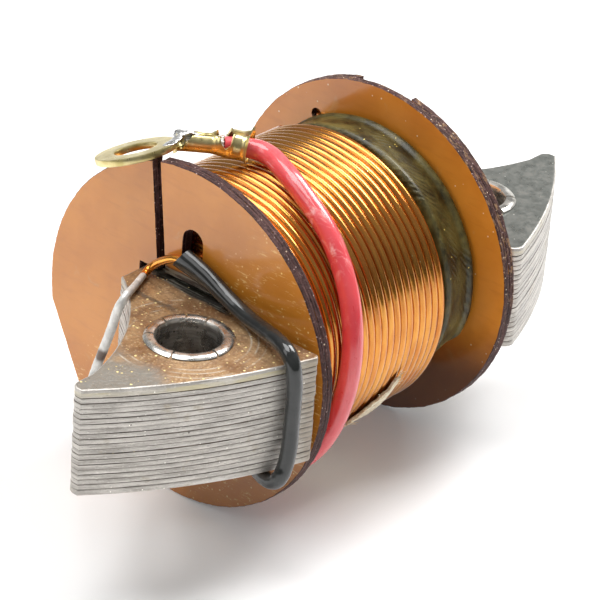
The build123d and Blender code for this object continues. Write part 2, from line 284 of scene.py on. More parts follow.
def plate_look():
    """The outer faces of the core: varnished brown at the near end, plain grey steel at the far end."""
    look = Look("plate_face", Coat_Roughness=0.12, Coat_IOR=1.5, Coat_Weight=0.7)
    grain = look.noise(1000, detail=8, roughness=0.72)
    peel = look.cells(2600, feature="SMOOTH_F1")
    broad = look.noise(170, detail=6, roughness=0.6)
    steel = look.mix(look.step(grain, 0.3, 0.7), (0.15, 0.158, 0.142), (0.205, 0.212, 0.195))
    steel = look.mix(look.specks(0.7, 0.13, 0.3), steel, (0.62, 0.62, 0.55))
    varnish = look.mix(look.step(broad, 0.36, 0.60), (0.20, 0.100, 0.042), (0.40, 0.250, 0.125))
    varnish = look.mix(look.step(grain, 0.47, 0.62, 0, 0.6), varnish, (0.15, 0.080, 0.038))
    varnish = look.mix(look.step(peel, 0.30, 0.10, 0, 0.45), varnish, (0.72, 0.54, 0.30))
    x = look.axis("X")
    y = look.axis("Y")
    ragged = look.plus(x, look.times(broad, 7 * MM))
    near = look.span(ragged, 2, -2)
    tip = look.span(ragged, -26.5, -24)
    bare = look.mix(near, steel, (0.24, 0.215, 0.18))
    bare = look.mix(look.step(grain, 0.50, 0.64, 0, 0.6), bare, (0.20, 0.19, 0.17))
    look.base(look.times(near, tip), bare, varnish)
    # faint circles left by the riveting tool
    ring = look.distance_to((-HOLE_X, 0, 0), (1, 1, 0))
    for radius in (5.9 * MM, 6.6 * MM, 7.4 * MM):
        mark = look.size_of(look.minus(ring, radius))
        line = look.times(look.span(mark, 0.14, 0.03), look.step(broad, 0.46, 0.58, 0, 0.6))
        look.over(line, (0.60, 0.56, 0.48))
    # a black band along the foot of the flange, partly black varnish and partly painted shade under the
    # sleeve, scraped to steel in thin lines
    wander = look.times(look.noise((700, 260, 400), detail=6, roughness=0.7), 1.4 * MM)
    ridge = look.plus(look.along((1, -0.08, 0)), wander)
    stain_and_shade = look.times(look.span(ridge, -15.3, -14.9), look.span(x, -12, -13.5))
    stain_and_shade = look.times(stain_and_shade, look.span(y, -0.6, 1.6))
    scraped = look.step(look.noise((3800, 240, 400), detail=4), 0.52, 0.62)
    varnish_and_shade_colour = look.mix(scraped, (0.018, 0.020, 0.015), (0.27, 0.28, 0.235))
    look.over(look.times(stain_and_shade, 0.95), varnish_and_shade_colour)
    across = look.plus(x, look.times(look.noise((300, 120, 300), detail=5), 2.4 * MM))
    streak = look.step(look.size_of(look.plus(across, 17.6 * MM)), 0.55 * MM, 0.1 * MM)
    streak = look.times(streak, look.span(y, 3.5, 6))
    look.over(look.times(streak, 0.7), (0.05, 0.048, 0.04))
    soil = look.step(look.noise(520, detail=7, roughness=0.75), 0.60, 0.70, 0, 0.6)
    look.over(look.times(soil, near), (0.075, 0.055, 0.038))
    speck = look.most(look.specks(0.8, 0.20, 0.34), look.specks(0.45, 0.24, 0.16))
    look.over(look.times(speck, near), (1.0, 0.82, 0.38))
    look.set("Metallic", look.minus(0.6, look.times(near, 0.4)))
    height = look.plus(look.times(look.minus(grain, peel), near), look.times(speck, 0.8))
    height = look.plus(height, look.times(grain, 0.12))
    return look.finished(look.step(grain, 0.3, 0.7, 0.25, 0.5), height, 0.00010, 0.9)


def rivet_look():
    """Bright rolled steel: turned marks round the bore, dirt in patches, and painted shade darkening it down
    the bore.
    """
    look = Look("rivet_steel", Metallic=0.95)
    turned = look.noise((220, 220, 2600), detail=5, roughness=0.65)
    patch = look.noise(900, detail=6)
    look.base(look.step(turned, 0.34, 0.66), (0.58, 0.555, 0.51), (0.93, 0.905, 0.86))
    look.over(look.step(patch, 0.66, 0.76, 0, 0.4), (0.24, 0.20, 0.15))
    look.over(look.step(patch, 0.38, 0.28, 0, 0.6), (0.09, 0.08, 0.065))
    # painted shade: darker down inside the bore
    low = look.step(look.axis("Z"), STACK_TOP - 0.2 * MM, STACK_TOP - 4 * MM)
    look.over(look.times(low, 0.75), (0.13, 0.105, 0.08))
    return look.finished(look.step(patch, 0.3, 0.7, 0.16, 0.38), turned, 0.00006, 0.6)


def resin_paper_look():
    """The flanges' faces: glossy orange-brown laminate with dust in its varnish."""
    look = Look("resin_paper", Roughness=0.40, Specular_IOR_Level=0.3, Coat_Weight=1.0, Coat_IOR=1.5,
                Coat_Roughness=0.12)
    cloud = look.noise((70, 140, 140), detail=4)
    fibre = look.noise((1500, 260, 1500), detail=5, roughness=0.6)
    look.base(look.step(cloud, 0.3, 0.7), (0.56, 0.190, 0.016), (0.66, 0.245, 0.028))
    look.over(look.step(fibre, 0.5, 0.72, 0, 0.25), (0.46, 0.14, 0.014))
    dust = look.most(look.specks(1.25, 0.09, 0.34), look.specks(0.7, 0.10, 0.10))
    smudge = look.step(look.noise(330, detail=6, distortion=0.8), 0.63, 0.74, 0, 0.35)
    look.over(smudge, (0.58, 0.33, 0.12))
    look.over(dust, (0.90, 0.72, 0.45))
    # low on the near flange's face: golden scratches and splashes, and a black band along the core, partly
    # varnish and partly painted shade
    x, y, z = look.axis("X"), look.axis("Y"), look.axis("Z")
    face = look.span(x, -13.9, -14.1)
    low = look.times(face, look.step(look.plus(z, y), 22 * MM, 14 * MM))
    scratch = look.noise((400, 700, 3600), detail=6, roughness=0.75, distortion=0.5)
    splash = look.most(look.step(scratch, 0.575, 0.64, 0, 0.7), look.specks(0.6, 0.2, 0.3))
    look.over(look.times(low, splash), (0.95, 0.66, 0.24))
    wander = look.times(look.noise((300, 420, 900), detail=5), 1.6 * MM)
    # the black band along the core: partly varnish, partly painted shade under the sleeve
    varnish_and_shade_foot = look.step(look.minus(z, wander), STACK_TOP + 0.6 * MM, STACK_TOP + 0.1 * MM)
    varnish_and_shade_foot = look.times(look.times(varnish_and_shade_foot, face), look.step(z, STACK_TOP - 1 * MM, STACK_TOP))
    varnish_and_shade_foot = look.times(varnish_and_shade_foot, look.times(look.span(y, 0, 2), look.span(y, 12, 10.5)))
    scraped = look.step(look.noise((400, 260, 3800), detail=4), 0.52, 0.62)
    look.over(look.times(varnish_and_shade_foot, 0.92), look.mix(scraped, (0.02, 0.02, 0.016), (0.25, 0.25, 0.20)))
    # painted shade: both flanges' faces darken towards the bottom and the front, the far flange's most, where
    # the winding shades it
    painted_low_shade = look.step(look.plus(z, look.times(cloud, 3 * MM)), AXIS_Z + 0.5 * MM, AXIS_Z - 9.5 * MM)
    front = look.step(y, AXIS_Y + 4 * MM, AXIS_Y - 4 * MM)
    front = look.times(front, look.span(x, 13, 13.8, 0.55, 0.88))
    look.over(look.times(painted_low_shade, front), (0.045, 0.014, 0.006))
    return look.finished(None, look.plus(look.noise(110, detail=3), look.times(dust, 0.25)), 0.00014, 0.45)


def resin_edge_look():
    """The flanges' sawn rims: layers of dark paper, speckled grey and brown."""
    look = Look("resin_edge", Specular_IOR_Level=0.18)
    layers = look.noise((5200, 300, 300), detail=3)
    fleck = look.noise(2300, detail=4, roughness=0.75)
    look.base(look.step(layers, 0.35, 0.65), (0.034, 0.014, 0.013), (0.105, 0.050, 0.045))
    look.over(look.step(fleck, 0.55, 0.68, 0, 0.85), (0.23, 0.145, 0.130))
    look.over(look.step(fleck, 0.46, 0.36, 0, 0.85), (0.018, 0.007, 0.007))
    look.over(look.specks(0.42, 0.20, 0.30), (0.50, 0.36, 0.33))
    look.over(look.specks(0.8, 0.13, 0.30), (0.75, 0.58, 0.42))
    # the far flange's rim is chipped to paler resin near its top
    chip = look.step(look.noise((2600, 1100, 1100), detail=6, roughness=0.75), 0.52, 0.60, 0, 0.8)
    far_top = look.times(look.span(look.axis("X"), 13, 14),
                        look.step(look.axis("Z"), AXIS_Z - 4 * MM, AXIS_Z + 5 * MM))
    look.over(look.times(chip, far_top), (0.34, 0.20, 0.105))
    # painted glints: bright specks on the top of the far flange's rim
    painted_glints = look.times(look.specks(0.5, 0.16, 0.4), far_top)
    look.over(painted_glints, (0.85, 0.74, 0.58))
    return look.finished(look.step(fleck, 0.3, 0.7, 0.4, 0.75), fleck, 0.00020, 1.0)


def enamel_look(name, bright, deep, dust=True):
    """Copper wire under amber enamel."""
    look = Look(name, Metallic=0.95, Coat_Weight=0.8, Coat_IOR=1.45, Coat_Roughness=0.06)
    along = look.noise((2200, 260, 260), detail=4)
    broad = look.noise(120, detail=3)
    look.base(look.step(along, 0.35, 0.7), bright, deep)
    look.over(look.step(broad, 0.52, 0.68, 0, 0.35), tuple(0.75 * c for c in deep))
    if dust:
        look.over(look.specks(0.9, 0.085, 0.22), (0.95, 0.78, 0.48))
    return look.finished(look.step(along, 0.3, 0.7, 0.15, 0.27),
                         look.noise((1200, 900, 900), detail=3), 0.00003, 0.5)


def varnished_sleeving_look():
    """Woven sleeving, stiff with dark olive varnish."""
    look = Look("varnished_sleeving", Specular_IOR_Level=0.25, Coat_Weight=0.55, Coat_Roughness=0.3,
                Coat_IOR=1.45, Coat_Tint=(0.92, 0.88, 0.62))
    inputs = {"Vector": look.stretched((2600, 1500, 1500)), "Scale": 0.4, "Distortion": 2.5, "Detail": 2}
    weave = look.node("ShaderNodeTexWave", inputs, wave_type="BANDS", bands_direction="DIAGONAL")
    weave = weave.outputs["Fac"]
    patch = look.noise((420, 260, 260), detail=6, roughness=0.65)
    look.base(look.step(patch, 0.36, 0.66), (0.016, 0.014, 0.004), (0.130, 0.108, 0.034))
    worn = look.step(look.noise((500, 300, 300), detail=5), 0.45, 0.65, 0, 0.22)
    look.over(look.times(weave, worn), (0.20, 0.175, 0.085))
    look.over(look.specks(0.8, 0.13, 0.4), (0.72, 0.58, 0.18))
    return look.finished(look.step(patch, 0.3, 0.7, 0.32, 0.55),
                         look.plus(look.times(weave, worn), patch), 0.00045, 0.9)


def cotton_look():
    """Cream cotton tape, soiled where varnish has soaked in."""
    look = Look("cotton_tape", Roughness=0.92, Sheen_Weight=0.35)
    warp = look.noise((4200, 900, 900), detail=2)
    weft = look.noise((900, 4200, 4200), detail=2)
    soil = look.noise(420, detail=5)
    thread = look.most(warp, weft)
    look.base(look.step(thread, 0.42, 0.68), (0.62, 0.49, 0.30), (0.95, 0.88, 0.68))
    look.over(look.step(soil, 0.58, 0.74, 0, 0.5), (0.52, 0.33, 0.14))
    return look.finished(None, thread, 0.00015, 0.9)


def red_lead_look():
    """Soft red plastic insulation, with pale scuffs."""
    look = Look("red_insulation", Coat_Weight=0.9, Coat_Roughness=0.05, Subsurface_Weight=0.2,
                Subsurface_Scale=0.0006)
    broad = look.noise(130, detail=4)
    scuff = look.noise((900, 420, 420), detail=6, roughness=0.7, distortion=0.6)
    look.base(look.step(broad, 0.3, 0.7), (0.66, 0.045, 0.062), (0.78, 0.085, 0.10))
    rubbed = look.distance_to((-5.8 * MM, -3.6 * MM, 18.9 * MM))
    where = look.span(rubbed, 5.5, 2)
    pale = look.times(look.step(scuff, 0.50, 0.66), look.plus(where, 0.12))
    look.over(look.times(pale, 0.75), (0.93, 0.52, 0.50))
    return look.finished(look.step(scuff, 0.35, 0.65, 0.26, 0.5), scuff, 0.00009, 0.45)


def black_sleeve_look():
    """Glossy black sleeving, scuffed along its length."""
    look = Look("black_sleeve", Specular_IOR_Level=0.15, Coat_Weight=1.0, Coat_Roughness=0.06, Coat_IOR=1.5)
    broad = look.noise(210, detail=5)
    scuff = look.noise((1300, 1300, 500), detail=6, roughness=0.7)
    dent = look.noise((700, 300, 700), detail=4, roughness=0.6)
    look.base(look.step(broad, 0.35, 0.7), (0.006, 0.007, 0.007), (0.018, 0.020, 0.019))
    look.over(look.step(scuff, 0.62, 0.74, 0, 0.35), (0.12, 0.12, 0.10))
    look.over(look.specks(1.1, 0.10, 0.25), (0.45, 0.43, 0.36))
    return look.finished(look.step(scuff, 0.3, 0.7, 0.35, 0.55),
                         look.plus(dent, look.times(scuff, 0.25)), 0.00022, 0.6)


def brass_look():
    """Thin pressed brass, dulled to olive in places."""
    look = Look("terminal_brass", Metallic=1.0)
    grain = look.noise((1800, 1800, 1800), detail=6, roughness=0.7)
    broad = look.noise(330, detail=5)
    look.base(look.step(broad, 0.35, 0.65), (0.56, 0.46, 0.19), (0.82, 0.71, 0.39))
    look.over(look.step(grain, 0.60, 0.78, 0, 0.45), (0.30, 0.22, 0.07))
    return look.finished(look.step(grain, 0.3, 0.7, 0.26, 0.42), grain, 0.00002, 0.5)


def solder_look():
    """Lumpy tin-lead solder."""
    look = Look("solder", Metallic=1.0)
    lump = look.noise(1500, detail=3)
    look.base(look.step(lump, 0.35, 0.68), (0.55, 0.55, 0.55), (0.86, 0.86, 0.85))
    return look.finished(look.step(lump, 0.3, 0.7, 0.22, 0.45), lump, 0.00005, 0.5)


def tinned_look():
    """Copper wire dipped in solder, with burnt flux on it."""
    look = Look("tinned_wire", Metallic=0.3)
    lump = look.noise((1100, 1100, 700), detail=5)
    flux = look.noise(520, detail=4)
    look.base(look.step(lump, 0.3, 0.7), (0.60, 0.59, 0.56), (0.86, 0.85, 0.82))
    look.over(look.step(look.noise(1900, detail=4), 0.62, 0.70, 0, 0.6), (0.30, 0.28, 0.25))
    look.over(look.step(flux, 0.71, 0.75, 0, 0.7), (0.20, 0.13, 0.08))
    burnt = look.distance_to((-20.3 * MM, 12.4 * MM, 4.1 * MM))
    look.over(look.span(burnt, 1.0, 0.45, 0, 0.9), (0.09, 0.05, 0.03))
    return look.finished(look.step(lump, 0.3, 0.7, 0.3, 0.5), lump, 0.0001, 0.8)


def paper_look(name, light, dark, coat):
    """Insulating paper and card round the core."""
    look = Look(name, Roughness=0.6, Coat_Weight=coat, Coat_Roughness=0.25)
    fibre = look.noise((400, 1700, 1700), detail=6, roughness=0.7)
    look.base(look.step(fibre, 0.35, 0.65), dark, light)
    return look.finished(None, fibre, 0.00008, 0.6)


CUT_STEEL = cut_steel_look()
SHEET_GAP = sheet_gap_look()
PLATE = plate_look()
RIVET = rivet_look()
RESIN = resin_paper_look()
RESIN_EDGE = resin_edge_look()
ENAMEL = enamel_look("enamelled_copper", (0.63, 0.275, 0.042), (0.50, 0.158, 0.016))
# the inner turns' enamel is brighter than the outer layer's: painted light on turns that sit in shade in the
# slots
ENAMEL_INNER_PAINTED_LIGHT = enamel_look("enamelled_copper_inner_painted_light", (0.85, 0.32, 0.05), (0.50, 0.14, 0.02), dust=False)
ENAMEL_EARTH = enamel_look("enamelled_earth_wire", (0.95, 0.42, 0.05), (0.80, 0.26, 0.03), dust=False)
SLEEVING = varnished_sleeving_look()
COTTON = cotton_look()
RED = red_lead_look()
BLACK = black_sleeve_look()
BRASS = brass_look()
SOLDER = solder_look()
TINNED = tinned_look()
PAPER = paper_look("insulating_paper", (0.24, 0.14, 0.06), (0.10, 0.055, 0.025), 0.3)


# ---- pieces from meshes ----

SMOOTH_UNDER = math.radians(38)


def ring_faces(a, b, count):
    """Faces between two closed rings of vertices, which start at a and b."""
    return [(a + k, a + (k + 1) % count, b + (k + 1) % count, b + k) for k in range(count)]


def joined(parts):
    """Several (vertices, faces) as one."""
    verts, faces = [], []
    for some, more in parts:
        first = len(verts)
        verts += some
        faces += [tuple(i + first for i in f) for f in more]
    return verts, faces


def swept(rows, count, closed=False):
    """An outline of count points swept through rows of vertices, its ends capped or, if closed, joined."""
    verts = [v for row in rows for v in row]
    last = len(rows) - 1
    faces = [f for i in range(last) for f in ring_faces(i * count, (i + 1) * count, count)]
    if closed:
        return verts, faces + ring_faces(last * count, 0, count)
    return verts, faces + [tuple(range(count)), tuple(last * count + k for k in range(count))]


def sheet_between(outer, inner):
    """A closed strip from two grids of points, one for each side, with the same rows."""
    last, row = len(outer) - 1, len(outer[0])
    verts = [v for grid in (outer, inner) for line in grid for v in line]
    faces = []
    sheet = (last + 1) * row
    for i in range(last):
        for k in range(row - 1):
            a = i * row + k
            quad = (a, a + 1, a + row + 1, a + row)
            faces += [quad, tuple(sheet + corner for corner in quad)]
    border = list(range(row)) + [(i + 2) * row - 1 for i in range(last)]
    border += [last * row + k for k in range(row - 2, -1, -1)] + [i * row for i in range(last - 1, 0, -1)]
    for a, b in zip(border, border[1:] + border[:1]):
        faces.append((a, b, sheet + b, sheet + a))
    return verts, faces


def piece(name, verts, faces, materials, stands_for, slot, face_materials=None):
    """A mesh piece that rides on the object, in place of its CAD nodes."""
    mesh = bpy.data.meshes.new(name)
    mesh.from_pydata([tuple(v) for v in verts], [], faces)
    for material in materials if isinstance(materials, list) else [materials]:
        mesh.materials.append(material)
    if face_materials:
        mesh.polygons.foreach_set("material_index", face_materials)
    bm = bmesh.new()
    bm.from_mesh(mesh)
    bmesh.ops.recalc_face_normals(bm, faces=bm.faces)
    bm.to_mesh(mesh)
    bm.free()
    mesh.polygons.foreach_set("use_smooth", [True] * len(mesh.polygons))
    mesh.set_sharp_from_angle(angle=SMOOTH_UNDER)
    made = bpy.data.objects.new(name, mesh)
    show(made)
    return settled(made, stands_for)


def settled(made, stands_for):
    """Puts a finished piece on the object's one body, in place of its CAD nodes."""
    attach(made, "root")
    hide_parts(*stands_for)
    return made


def outlines(node, normal):
    """The closed loops round the faces of a CAD node that look along normal."""
    bm = bmesh.new()
    bm.from_mesh(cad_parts[node].data)
    bmesh.ops.remove_doubles(bm, verts=bm.verts, dist=0.002 * MM)
    flat = {f for f in bm.faces if f.normal.dot(normal) > 0.999}
    after = {}
    for f in flat:
        for loop in f.loops:
            if sum(other in flat for other in loop.edge.link_faces) == 1:
                after[loop.vert.index] = loop.link_loop_next.vert.index
    points = {v.index: v.co.copy() for v in bm.verts}
    bm.free()
    loops = []
    while after:
        at = next(iter(after))
        loop = []
        while at in after:
            loop.append(points[at])
            at = after.pop(at)
        loops.append(loop)
    return loops


def with_more_points(loop, step):
    """A closed loop with points added on its long runs."""
    full = []
    for a, b in zip(loop, loop[1:] + loop[:1]):
        parts = max(1, math.ceil((b - a).length / step))
        full += [a.lerp(b, i / parts) for i in range(parts)]
    return full


def outward(loop, normal):
    """For each point of a closed loop, the direction in its plane that points away from the material."""
    count = len(loop)
    sides = []
    for i in range(count):
        before = (loop[i] - loop[i - 1]).normalized()
        behind = (loop[(i + 1) % count] - loop[i]).normalized()
        sides.append((before + behind).normalized().cross(normal))
    return sides


def slab(name, node, normal, step, profile, wobble, materials, rim_from, slot):
    """A sheet with a worked edge, from a flat CAD node's own outline.

    profile lists (inset, height share) from the low face to the high one, and wobble gives how far
    each outline point moves outwards. rim_from is the profile rows that take each material.
    """
    low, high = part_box(node)
    thickness = abs((high - low).dot(normal))
    verts, faces, of_face, caps = [], [], [], ([], [])
    for loop in outlines(node, normal):
        loop = with_more_points(loop, step)
        sides = outward(loop, normal)
        first = len(verts)
        count = len(loop)
        for inset, share in profile:
            for p, side in zip(loop, sides):
                verts.append(p + side * (wobble(p, share) - inset) - normal * thickness * (1 - share))
        for row in range(len(profile) - 1):
            faces += ring_faces(first + row * count, first + (row + 1) * count, count)
            of_face += [rim_from[row]] * count
        for cap, row in zip(caps, (0, len(profile) - 1)):
            cap.append([first + row * count + i for i in range(count)])
    for cap in caps:
        flat = [i for loop in cap for i in loop]
        for a, b, c in tessellate_polygon([[verts[i] for i in loop] for loop in cap]):
            faces.append((flat[a], flat[b], flat[c]))
            of_face.append(0)
    return piece(name, verts, faces, materials, [node], slot, of_face)


def smooth_noise(p, scale, seed=0.0):
    """Noise from -1 to 1 at a point, with scale repeats per metre."""
    return noise.noise(p * scale + Vector((seed, seed * 0.37, seed * 0.71)))


# ---- laminated core ----

SHEETS = sorted(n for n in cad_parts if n.startswith("core_lamination"))
EDGE = 0.05 * MM


def edged(thickness, edge):
    """An edge profile with rounded corners, and a ring just inside each face that keeps the face flat."""
    e = edge / thickness
    return [(edge * 2.2, 0), (edge, 0), (edge * 0.3, e * 0.3), (0, e), (0, 1 - e),
            (edge * 0.3, 1 - e * 0.3), (edge, 1), (edge * 2.2, 1)]


random.seed(41)
for i, sheet in enumerate(SHEETS):
    low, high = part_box(sheet)
    shift = random.uniform(-0.055, 0.02) * MM
    seed = random.uniform(0, 90)

    def sheet_wobble(p, share, shift=shift, seed=seed):
        return shift + 0.03 * MM * smooth_noise(p, 160, seed) + 0.012 * MM * smooth_noise(p, 1500, seed)

    slab(f"lamination_{i + 1:02d}", sheet, Z_AXIS, 1.2 * MM, edged(high.z - low.z, EDGE), sheet_wobble,
         [PLATE, CUT_STEEL, SHEET_GAP], [0, 2, 2, 1, 2, 2, 0], "lamination_steel")


def plate_wobble(p, share):
    return 0.03 * MM * smooth_noise(p, 300) + 0.015 * MM * smooth_noise(p, 1800) - 0.02 * MM


for side, edge in (("top", 0.16 * MM), ("bottom", 0.12 * MM)):
    node = f"core_end_plate_{side}"
    low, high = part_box(node)
    slab(f"end_plate_{side}", node, Z_AXIS, 0.6 * MM, edged(high.z - low.z, edge), plate_wobble,
         [PLATE, CUT_STEEL], [0, 1, 1, 1, 1, 1, 0], "end_plate_steel")


# ---- flanges ----

def rim_wobble(p, share):
    """Roughens a flange's rim, and leaves its openings nearly clean."""
    radius = (p - COIL - X_AXIS * (p - COIL).x).length
    rough = 0.05 if radius > 0.9 * FLANGE_R else 0.025
    layer = noise.noise(Vector((p.y, p.z, share * 0.7 * MM)) * 2600)
    return rough * MM * (smooth_noise(p, 900) + 0.8 * layer) - 0.02 * MM


for flange in ("flange_near_outer", "flange_near_inner", "flange_far_inner", "flange_far_outer"):
    slab(flange + "_board", flange, -X_AXIS, 0.35 * MM,
         [(0.16 * MM, 0), (0.07 * MM, 0), (0.01 * MM, 0.09), (0, 0.25), (-0.02 * MM, 0.42), (0.015 * MM, 0.5),
          (-0.02 * MM, 0.6), (0, 0.76), (0.01 * MM, 0.91), (0.07 * MM, 1), (0.16 * MM, 1)],
         rim_wobble, [RESIN, RESIN_EDGE], [0, 1, 1, 1, 1, 1, 1, 1, 1, 0], "laminate_board")


# ---- tubes along lines ----

def route_points(name, route, per_span=24):
    """Points along a smooth line through a route, read from its NURBS spline."""
    curve = bpy.data.curves.new(name + "_line", "CURVE")
    curve.dimensions = "3D"
    curve.resolution_u = per_span
    nurbs(curve, route)
    holder = bpy.data.objects.new(name + "_line", curve)
    line = bpy.data.meshes.new_from_object(holder)
    found = [v.co.copy() for v in line.vertices]
    bpy.data.objects.remove(holder)
    bpy.data.meshes.remove(line)
    return found


def nurbs(curve, route):
    """Adds an open NURBS spline whose control points are the route's."""
    spline = curve.splines.new("NURBS")
    spline.points.add(len(route) - 1)
    for point, place in zip(spline.points, route):
        point.co = (*[c * MM for c in place], 1)
    spline.order_u = 3
    spline.use_endpoint_u = True


def frames(points):
    """For each point of a line, its tangent and two directions across it, turned as little as possible."""
    tangents = []
    for i in range(len(points)):
        tangents.append((points[min(i + 1, len(points) - 1)] - points[max(i - 1, 0)]).normalized())
    side = tangents[0].orthogonal().normalized()
    out = []
    for i, t in enumerate(tangents):
        side = (side - t * side.dot(t)).normalized()
        out.append((t, side, t.cross(side)))
    return out


def tube_mesh(points, radius, sides=20):
    """A tube along a line. radius(i, turn) gives the radius at point i and a share of a turn."""
    rows = []
    for i, (p, (t, u, v)) in enumerate(zip(points, frames(points))):
        row = []
        for k in range(sides):
            a = 2 * math.pi * k / sides
            row.append(p + (u * math.cos(a) + v * math.sin(a)) * radius(i, k / sides))
        rows.append(row)
    return swept(rows, sides)


# ---- windings ----

WIRE_R = 0.488 * MM
PITCH = 0.985 * MM
LAYER_T = 1.0 * MM
PAPER_R = 11.0 * MM
HELIX_FROM = 195
NEAR_GAP = 0.7 * MM


def helix(radius, start, end, per_turn, sides, seed, unevenness):
    """A wire wound round the coil from x = start to x = end, a little unevenly."""
    turns = (end - start - 2 * WIRE_R) / PITCH
    steps = int(turns * per_turn)
    points = []
    for i in range(steps + 1):
        angle = HELIX_FROM + 360 * i / per_turn
        x = start + WIRE_R + PITCH * i / per_turn
        slow = Vector((i / per_turn * 0.9, seed, 0))
        quick = Vector((i / per_turn * 5.0, seed, 7))
        dx = unevenness * (0.6 * noise.noise(slow) + 0.3 * noise.noise(quick))
        dr = unevenness * 0.55 * noise.noise(quick + Vector((0, 9, 0)))
        points.append(around(radius + dr, angle, x + dx))
    return tube_mesh(points, lambda i, turn: WIRE_R, sides)


for layer in range(1, 5):
    node = f"outer_winding_layer_{layer}"
    low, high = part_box(node)
    middle = PAPER_R + (layer - 0.5) * LAYER_T
    outside = layer == 4
    per_turn, sides, unevenness = (96, 12, 0.07) if outside else (56, 8, 0.04)
    turns = helix(middle, low.x + NEAR_GAP * outside, high.x, per_turn, sides, layer * 13.7, unevenness * MM)
    piece(f"winding_layer_{layer}", *turns, ENAMEL if layer > 2 else ENAMEL_INNER_PAINTED_LIGHT, [node], "enamelled_copper")


# the inner winding's ends show their turns through the wire slots
inner_low, inner_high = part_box("inner_winding")
INNER_R = (inner_high.z - inner_low.z) / 2
FINE_R = 0.26 * MM
FINE_STEPS = 72
SET_BACK = 0.35 * MM


def ring_of_wire(radius, x, wobble_seed):
    """One turn of the fine wire."""
    points = []
    for i in range(FINE_STEPS + 1):
        a = 2 * math.pi * i / FINE_STEPS
        wander = 0.05 * MM * drift(math.cos(a), math.sin(a), wobble_seed)
        points.append(around(radius + wander, math.degrees(a), x))
    return tube_mesh(points, lambda i, turn: FINE_R, 8)


parts = []
for end, inwards in ((inner_low.x, 1), (inner_high.x, -1)):
    for n in range(5):
        radius = INNER_R - FINE_R - n * 2.05 * FINE_R
        depth = FINE_R + 0.04 * MM + (n % 2) * 0.12 * MM
        parts.append(ring_of_wire(radius, end + inwards * depth, n))
ends = (inner_low.x + SET_BACK, inner_high.x - SET_BACK)
SIDES = 72
hole_low, hole_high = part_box("core_insulation")
hole = (hole_high - hole_low) / 2
verts = [around(INNER_R - 0.02 * MM, 360 * k / SIDES, x) for x in ends for k in range(SIDES)]
for x in ends:
    for k in range(SIDES):
        # the bore is the insulation's rectangle, met along the same directions
        out = around(1, 360 * k / SIDES, 0) - COIL
        share = max(abs(out.y) / hole.y, abs(out.z) / hole.z)
        verts.append(COIL + Vector((x, out.y / share, out.z / share)))
faces = [f for a, b in ((0, 1), (2, 3), (0, 2), (1, 3)) for f in ring_faces(a * SIDES, b * SIDES, SIDES)]
parts.append((verts, faces))
# the winding's end comes through the far flange's hole and is snipped off
stub = [(14.3, 15.3, 18.25), (13.9, 15.1, 18.3), (13.55, 14.6, 18.4), (13.35, 13.9, 18.35)]
parts.append(tube_mesh([Vector(p) * MM for p in stub], lambda i, turn: 0.2 * MM, 10))
piece("inner_winding_turns", *joined(parts), ENAMEL_INNER_PAINTED_LIGHT, ["inner_winding"], "enamelled_copper")


# ---- flattened sleeve and cloth tape ----

band_low, band_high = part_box("end_sleeve")
BAND_FROM = -140
BAND_TO = 111
BAND_SLANT_FOR = 14
BAND_R = 14.5 * MM
BAND_T = 1.4 * MM


def band():
    """The flattened sleeve round the winding's end: rolled edges, a crease, a slanting cut end."""
    half = (band_high.x - band_low.x) / 2
    middle = (band_high.x + band_low.x) / 2
    # across the band: (share of half width, share of thickness from the inside)
    section = [(-0.80, 0.05), (-0.97, 0.22), (-1.0, 0.5), (-0.93, 0.80), (-0.80, 0.95), (-0.62, 0.93),
               (-0.35, 0.84), (0.0, 0.82), (0.25, 0.80), (0.45, 0.76), (0.56, 0.80), (0.68, 0.97),
               (0.82, 1.0), (0.94, 0.86), (1.0, 0.55), (0.97, 0.25), (0.85, 0.05), (0.3, 0.0),
               (-0.3, 0.0)]
    steps = 150
    rows = []
    for i in range(steps + 1):
        angle = BAND_FROM + (BAND_TO - BAND_FROM) * i / steps
        last = max(0.0, (angle - BAND_TO) / BAND_SLANT_FOR + 1)
        row = []
        for across, up in section:
            slant = 7 * last * max(0.0, 0.3 - across)
            crease = 0.07 * MM * drift(across * 1.3, angle * 0.06, 3) * (up > 0.4)
            wander = 0.10 * MM * drift(0, angle * 0.035, across > 0)
            radius = BAND_R - BAND_T + up * BAND_T * (1 - 0.25 * last) + crease
            row.append(around(radius, angle + slant, middle + across * (half - 0.1 * MM) + wander))
        rows.append(row)
    made = piece("flattened_sleeve", *swept(rows, len(section)), SLEEVING, ["end_sleeve", "tapping_wire"],
                 "varnished_sleeving")
    smooth = made.modifiers.new("round", "SUBSURF")
    smooth.levels = smooth.render_levels = 1


band()

tape_low, tape_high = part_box("cloth_tape")
TAPE_FROM = 127
TAPE_TO = 234
TAPE_SLANT = 19
LOOSE_THREADS = 34
TAPE_R = 15.06 * MM
TAPE_T = 0.26 * MM


